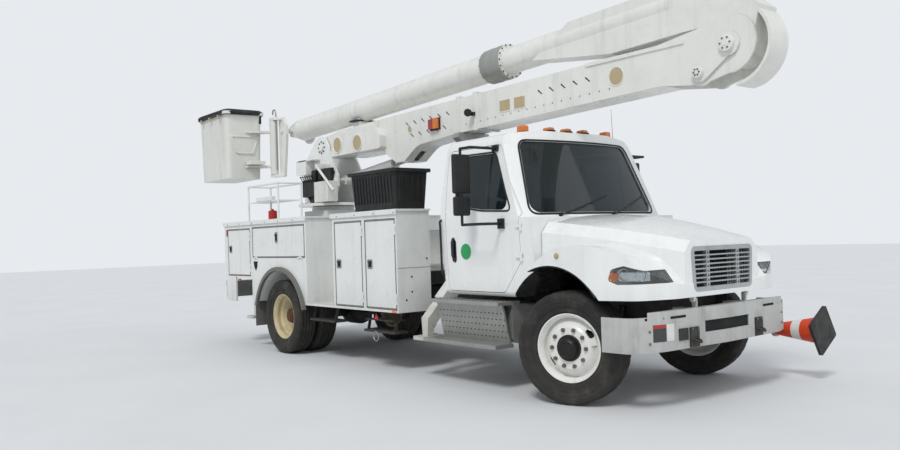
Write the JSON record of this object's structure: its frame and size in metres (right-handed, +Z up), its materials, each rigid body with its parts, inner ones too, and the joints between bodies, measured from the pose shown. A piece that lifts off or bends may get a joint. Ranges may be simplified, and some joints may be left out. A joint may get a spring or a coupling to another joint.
{
  "type": "cherry picker truck",
  "caption": "White utility truck with an articulating aerial boom folded over its cab, a personnel bucket, tool compartments and slanted outriggers.",
  "frame": {"origin": "on the ground under the middle of the truck's whole length and width, with the parked boom, mirrors and road cone; the frame's own middle plane is at y = -0.088 m", "axes": "+X forward, +Y to the truck's left, +Z up"},
  "size_m": [9.8418, 3.0467, 3.8],
  "materials": {
    "body_white": "gloss",
    "boom_white": "gloss",
    "leg_white": "satin",
    "bucket_white": "gloss",
    "chassis_black": "satin",
    "engine_grey": "matte",
    "cone_orange": "matte",
    "window": "gloss",
    "trim_grey": "matte",
    "seat_cloth": "matte",
    "amber_lens": "gloss",
    "deck_grey": "satin",
    "black_plastic": "matte",
    "black_rubber": "matte",
    "grille_grey": "satin",
    "lamp_clear": "gloss",
    "rim_white": "gloss",
    "rim_cream": "satin",
    "tyre": "matte",
    "rod_chrome": "polished"
  },
  "bodies": {
    "chassis": {"frame_rails": "chassis_black", "front_suspension": "chassis_black", "rear_suspension": "chassis_black", "powertrain": "engine_grey", "bumper": "body_white", "traffic_cone": "cone_orange", "cab_shell": "body_white", "cab_glass": "window", "cab_interior": "trim_grey", "seats": "seat_cloth", "roof_lamps": "amber_lens", "service_body": "body_white", "deck": "deck_grey", "pedestal": "body_white", "outrigger_boxes": "body_white", "side_bin": "black_plastic", "ladder_rack": "body_white", "rear_fenders": "black_rubber", "cab_steps": "body_white"},
    "hood": {"hood": "body_white", "grille": "grille_grey", "headlamps": "lamp_clear"},
    "door_right": {"cab_door_right": "body_white", "door_glass_right": "window", "mirrors_right": "black_plastic"},
    "knuckle_right": {"knuckle_right": "chassis_black"},
    "front_wheel_right": {"front_wheel_right": "rim_white", "front_tyre_right": "tyre"},
    "rear_wheels_right": {"rear_wheels_right": "rim_cream", "rear_tyres_right": "tyre"},
    "body_door_rear_right": {"body_door_rear_right": "body_white"},
    "body_door_drop_right": {"body_door_drop_right": "body_white"},
    "body_door_tall_a_right": {"body_door_tall_a_right": "body_white"},
    "body_door_tall_b_right": {"body_door_tall_b_right": "body_white"},
    "door_left": {"cab_door_left": "body_white", "door_glass_left": "window", "mirrors_left": "black_plastic"},
    "knuckle_left": {"knuckle_left": "chassis_black"},
    "front_wheel_left": {"front_wheel_left": "rim_white", "front_tyre_left": "tyre"},
    "rear_wheels_left": {"rear_wheels_left": "rim_cream", "rear_tyres_left": "tyre"},
    "body_door_rear_left": {"body_door_rear_left": "body_white"},
    "body_door_drop_left": {"body_door_drop_left": "body_white"},
    "body_door_tall_a_left": {"body_door_tall_a_left": "body_white"},
    "body_door_tall_b_left": {"body_door_tall_b_left": "body_white"},
    "outrigger_front_right": {"outrigger_front_right": "leg_white"},
    "outrigger_front_left": {"outrigger_front_left": "leg_white"},
    "outrigger_rear_right": {"outrigger_rear_right": "leg_white"},
    "outrigger_rear_left": {"outrigger_rear_left": "leg_white"},
    "tie_rod": {"tie_rod": "chassis_black"},
    "turntable": {"turntable": "body_white"},
    "lower_boom": {"lower_boom": "boom_white"},
    "lift_barrel": {"lift_barrel": "boom_white"},
    "lift_rod": {"lift_rod": "rod_chrome"},
    "elbow_link": {"elbow_link": "boom_white"},
    "upper_boom": {"upper_boom": "boom_white"},
    "levelling_shaft": {"levelling_shaft": "boom_white"},
    "platform_bracket": {"platform_bracket": "boom_white"},
    "bucket": {"bucket": "bucket_white"}
  },
  "joints": [
    {"name": "hood_tilt", "type": "hinge", "parent": "chassis", "child": "hood", "pos_m": [4.259, -0.088, 0.925], "axis": [0, 1, 0], "range_deg": [0, 70]},
    {"name": "cab_door_right_swing", "type": "hinge", "parent": "chassis", "child": "door_right", "pos_m": [2.839, -1.18, 1.475], "axis": [0, 0, 1], "range_deg": [0, 70]},
    {"name": "cab_door_left_swing", "type": "hinge", "parent": "chassis", "child": "door_left", "pos_m": [2.839, 1.004, 1.475], "axis": [0, 0, -1], "range_deg": [0, 70]},
    {"name": "steer_right", "type": "hinge", "parent": "chassis", "child": "knuckle_right", "pos_m": [3.359, -0.938, 0.51], "axis": [0, 0, 1], "range_deg": [-52, 18]},
    {"name": "steer_left", "type": "hinge", "parent": "chassis", "child": "knuckle_left", "pos_m": [3.359, 0.762, 0.51], "axis": [0, 0, 1], "range_deg": [-52, 18]},
    {"name": "front_wheel_right_spin", "type": "hinge", "parent": "knuckle_right", "child": "front_wheel_right", "pos_m": [3.41163, -1.11013, 0.51], "axis": [-0.2924, 0.9563, 0], "continuous": true},
    {"name": "rear_wheels_right_spin", "type": "hinge", "parent": "chassis", "child": "rear_wheels_right", "pos_m": [-1.891, -0.993, 0.51], "axis": [0, 1, 0], "continuous": true},
    {"name": "front_wheel_left_spin", "type": "hinge", "parent": "knuckle_left", "child": "front_wheel_left", "pos_m": [3.30637, 0.93413, 0.51], "axis": [-0.2924, 0.9563, 0], "continuous": true},
    {"name": "rear_wheels_left_spin", "type": "hinge", "parent": "chassis", "child": "rear_wheels_left", "pos_m": [-1.891, 0.817, 0.51], "axis": [0, 1, 0], "continuous": true},
    {"name": "tie_rod_pivot", "type": "hinge", "parent": "knuckle_right", "child": "tie_rod", "pos_m": [3.16999, -0.96964, 0.394], "axis": [0, 0, 1], "range_deg": [-18, 52]},
    {"name": "body_door_rear_right_swing", "type": "hinge", "parent": "chassis", "child": "body_door_rear_right", "pos_m": [-2.811, -1.312, 1.41], "axis": [0, 0, 1], "range_deg": [0, 90]},
    {"name": "body_door_drop_right_drop", "type": "hinge", "parent": "chassis", "child": "body_door_drop_right", "pos_m": [-1.946, -1.312, 1.33], "axis": [1, 0, 0], "range_deg": [0, 90]},
    {"name": "body_door_tall_a_right_swing", "type": "hinge", "parent": "chassis", "child": "body_door_tall_a_right", "pos_m": [0.239, -1.312, 1.25], "axis": [0, 0, 1], "range_deg": [0, 90]},
    {"name": "body_door_tall_b_right_swing", "type": "hinge", "parent": "chassis", "child": "body_door_tall_b_right", "pos_m": [0.934, -1.312, 1.25], "axis": [0, 0, 1], "range_deg": [0, 90]},
    {"name": "body_door_rear_left_swing", "type": "hinge", "parent": "chassis", "child": "body_door_rear_left", "pos_m": [-2.811, 1.136, 1.41], "axis": [0, 0, -1], "range_deg": [0, 90]},
    {"name": "body_door_drop_left_drop", "type": "hinge", "parent": "chassis", "child": "body_door_drop_left", "pos_m": [-1.946, 1.136, 1.33], "axis": [-1, 0, 0], "range_deg": [0, 90]},
    {"name": "body_door_tall_a_left_swing", "type": "hinge", "parent": "chassis", "child": "body_door_tall_a_left", "pos_m": [0.239, 1.136, 1.25], "axis": [0, 0, -1], "range_deg": [0, 90]},
    {"name": "body_door_tall_b_left_swing", "type": "hinge", "parent": "chassis", "child": "body_door_tall_b_left", "pos_m": [0.934, 1.136, 1.25], "axis": [0, 0, -1], "range_deg": [0, 90]},
    {"name": "outrigger_front_right_slide", "type": "slide", "parent": "chassis", "child": "outrigger_front_right", "axis": [0, -0.7071, -0.7071], "range_m": [0, 0.596]},
    {"name": "outrigger_front_left_slide", "type": "slide", "parent": "chassis", "child": "outrigger_front_left", "axis": [0, 0.7071, -0.7071], "range_m": [0, 0.596]},
    {"name": "outrigger_rear_right_slide", "type": "slide", "parent": "chassis", "child": "outrigger_rear_right", "axis": [0, -0.7071, -0.7071], "range_m": [0, 0.596]},
    {"name": "outrigger_rear_left_slide", "type": "slide", "parent": "chassis", "child": "outrigger_rear_left", "axis": [0, 0.7071, -0.7071], "range_m": [0, 0.596]},
    {"name": "turntable_slew", "type": "hinge", "parent": "chassis", "child": "turntable", "pos_m": [-2.441, -0.088, 2.06], "axis": [0, 0, 1], "continuous": true},
    {"name": "lower_boom_lift", "type": "hinge", "parent": "turntable", "child": "lower_boom", "pos_m": [-2.341, -0.088, 2.95], "axis": [0, -1, 0], "range_deg": [0, 85]},
    {"name": "lift_barrel_swing", "type": "hinge", "parent": "turntable", "child": "lift_barrel", "pos_m": [-1.991, -0.088, 2.44], "axis": [0, -1, 0], "range_deg": [0, 80.39]},
    {"name": "lift_rod_slide", "type": "slide", "parent": "lift_barrel", "child": "lift_rod", "axis": [0.9944, 0, 0.1057], "range_m": [0, 0.8211]},
    {"name": "elbow_link_turn", "type": "hinge", "parent": "lower_boom", "child": "elbow_link", "pos_m": [4.556, -0.088, 3.122], "axis": [0, 1, 0], "range_deg": [0, 42.6]},
    {"name": "upper_boom_lift", "type": "hinge", "parent": "elbow_link", "child": "upper_boom", "pos_m": [4.556, -0.088, 3.122], "axis": [0, 1, 0], "range_deg": [0, 180]},
    {"name": "levelling_shaft_turn", "type": "hinge", "parent": "upper_boom", "child": "levelling_shaft", "pos_m": [-3.461, -0.088, 3.34], "axis": [0, 1, 0], "range_deg": [0, 42.6]},
    {"name": "platform_level", "type": "hinge", "parent": "levelling_shaft", "child": "platform_bracket", "pos_m": [-3.461, -0.088, 3.34], "axis": [0, 1, 0], "range_deg": [-180.1, 0]},
    {"name": "bucket_swing", "type": "hinge", "parent": "platform_bracket", "child": "bucket", "pos_m": [-3.641, -0.448, 3.08], "axis": [0, 0, 1], "range_deg": [-90, 90]}
  ],
  "couplings": [
    {"joint": "steer_left", "follows": "steer_right", "ratio": 1},
    {"joint": "tie_rod_pivot", "follows": "steer_right", "ratio": -1},
    {"joint": "lift_barrel_swing", "follows": "lower_boom_lift", "ratio": 0.9434},
    {"joint": "lift_rod_slide", "follows": "lower_boom_lift", "m_per_rad": 0.5521},
    {"joint": "elbow_link_turn", "follows": "lower_boom_lift", "ratio": 0.5},
    {"joint": "levelling_shaft_turn", "follows": "lower_boom_lift", "ratio": 0.5},
    {"joint": "platform_level", "follows": "upper_boom_lift", "ratio": -1}
  ]
}
